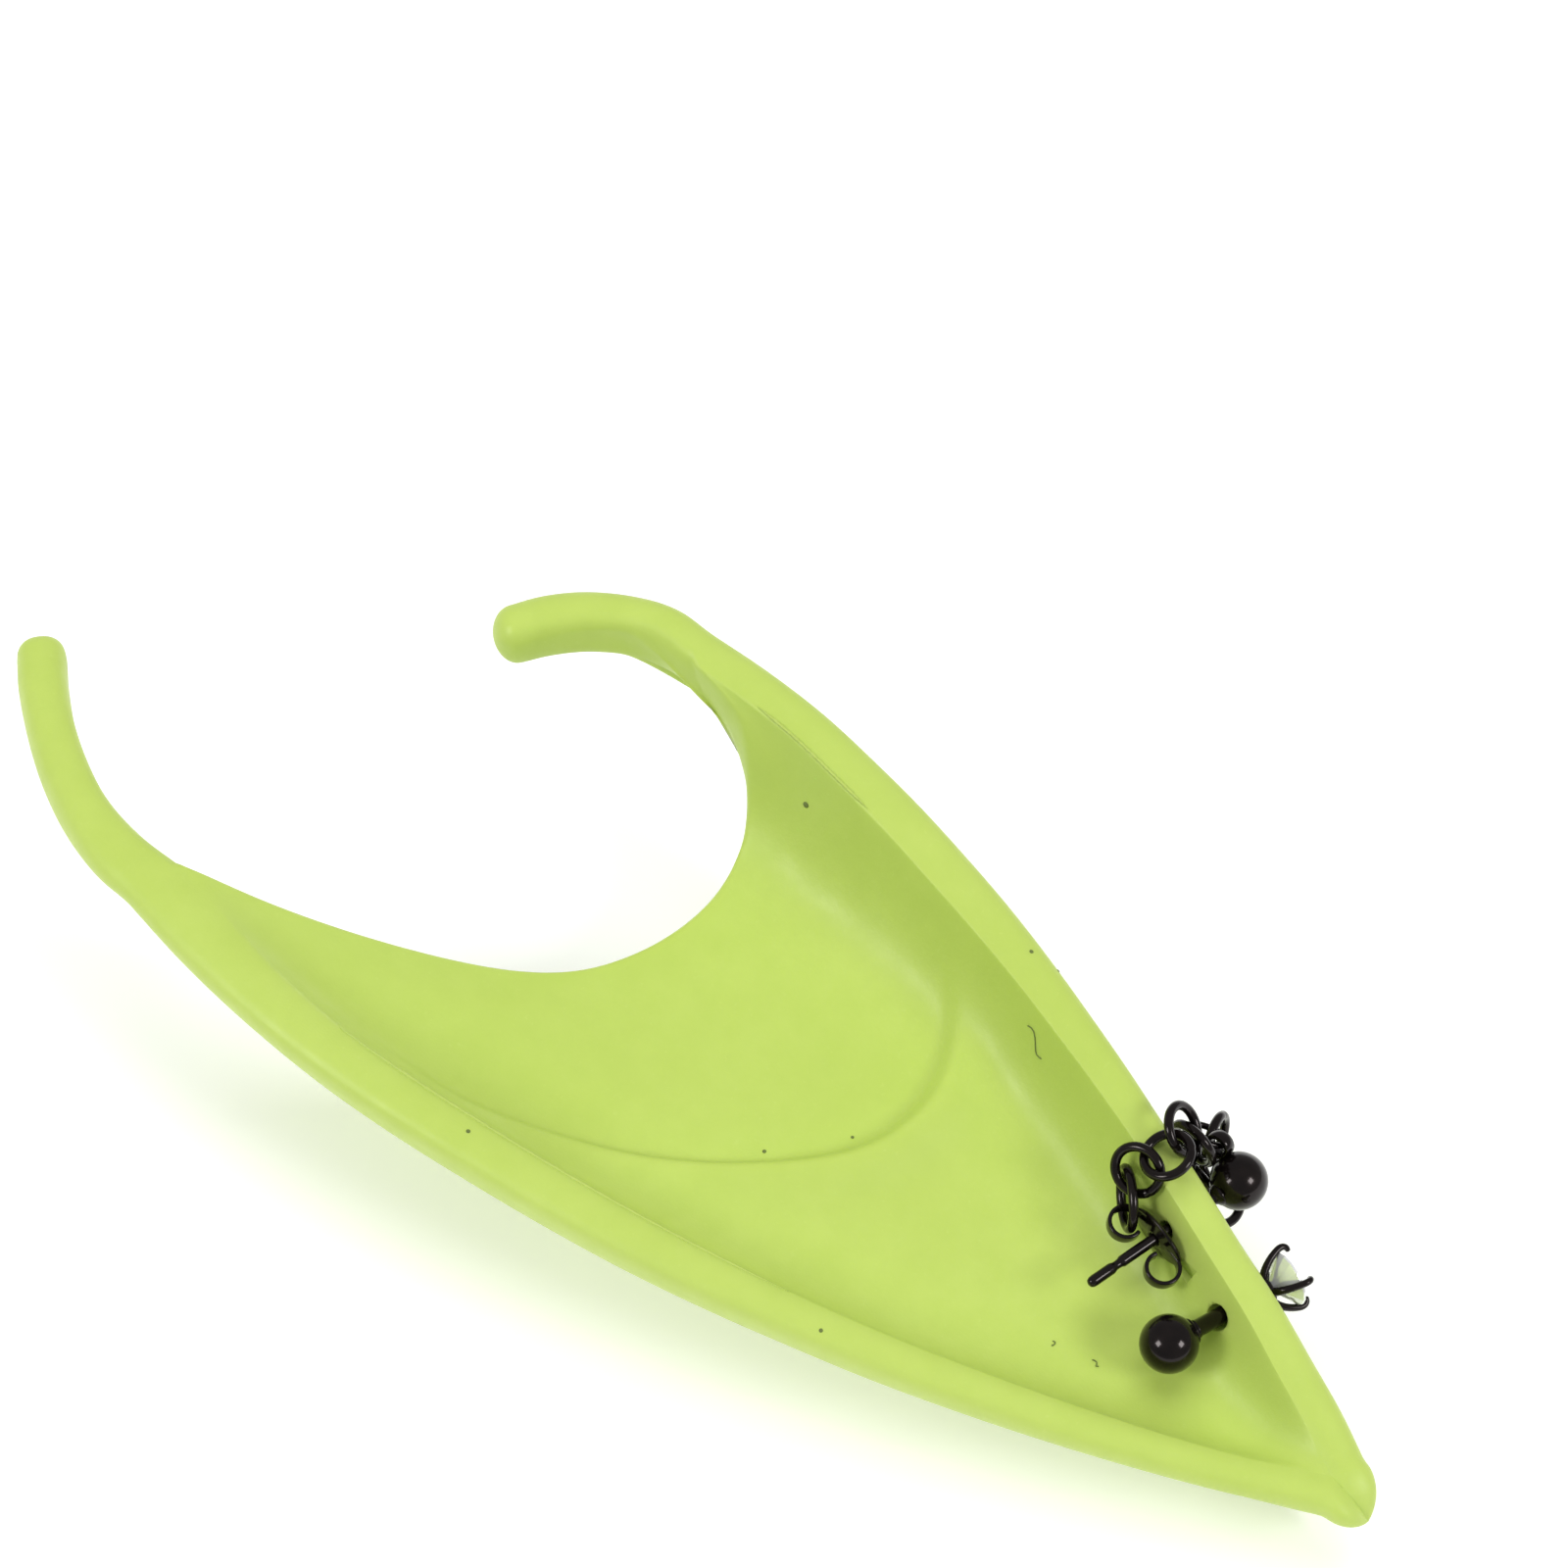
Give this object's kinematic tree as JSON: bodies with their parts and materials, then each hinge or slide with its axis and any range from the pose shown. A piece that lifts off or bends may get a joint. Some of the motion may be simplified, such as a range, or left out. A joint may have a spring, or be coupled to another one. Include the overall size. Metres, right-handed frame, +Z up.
{
  "type": "elf ear tip",
  "caption": "Pointed slip-on elf ear tip: hollow soft latex pocket with rolled rim and curled prongs, a ball stud with a short chain and a jewelled labret stud through the front rim",
  "frame": {"origin": "centre of the ear tip's outline, at the surface that its belly lies on", "axes": "+X from the open mouth to the pointed tip, +Y towards the front rim with the jewellery, +Z up out of the ear's face"},
  "size_m": [0.1136, 0.0429, 0.0228],
  "materials": {
    "latex": "satin moulded latex, lime green",
    "black_metal": "glossy black plating on steel",
    "crystal": "clear cut brilliant"
  },
  "bodies": {
    "root": {"ear_shell": "latex", "stud_ball": "black_metal", "butterfly_clutch": "black_metal", "chain_link_01": "black_metal", "chain_link_02": "black_metal", "chain_link_03": "black_metal", "chain_link_04": "black_metal", "chain_link_05": "black_metal", "chain_link_06": "black_metal", "chain_link_07": "black_metal", "chain_link_08": "black_metal", "chain_link_09": "black_metal", "chain_link_10": "black_metal", "jump_ring": "black_metal", "labret_stud": "black_metal", "clear_stone": "crystal", "labret_ball": "black_metal"}
  },
  "joints": []
}
